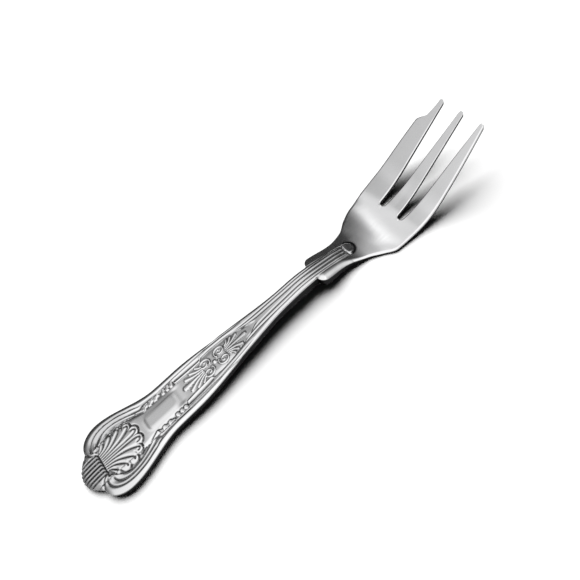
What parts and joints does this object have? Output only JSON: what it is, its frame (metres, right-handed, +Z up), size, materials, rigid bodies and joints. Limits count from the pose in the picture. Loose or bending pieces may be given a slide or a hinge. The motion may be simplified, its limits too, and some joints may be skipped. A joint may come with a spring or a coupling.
{
  "type": "pastry fork",
  "caption": "Steel pastry fork with a wide notched cutting tine, a plain bowl and a stamped shell and honeysuckle handle.",
  "frame": {"origin": "on the table below the middle of the fork's length and width, as the fork lies face up", "axes": "+X from the handle's end to the tine tips, +Y to the cutting tine's side, +Z up from the table"},
  "size_m": [0.1499, 0.024, 0.0175],
  "materials": {
    "stainless_steel": "polished stainless steel with fine polishing lines, darker in the struck recesses"
  },
  "bodies": {
    "root": {"fork": "stainless_steel"}
  },
  "joints": []
}
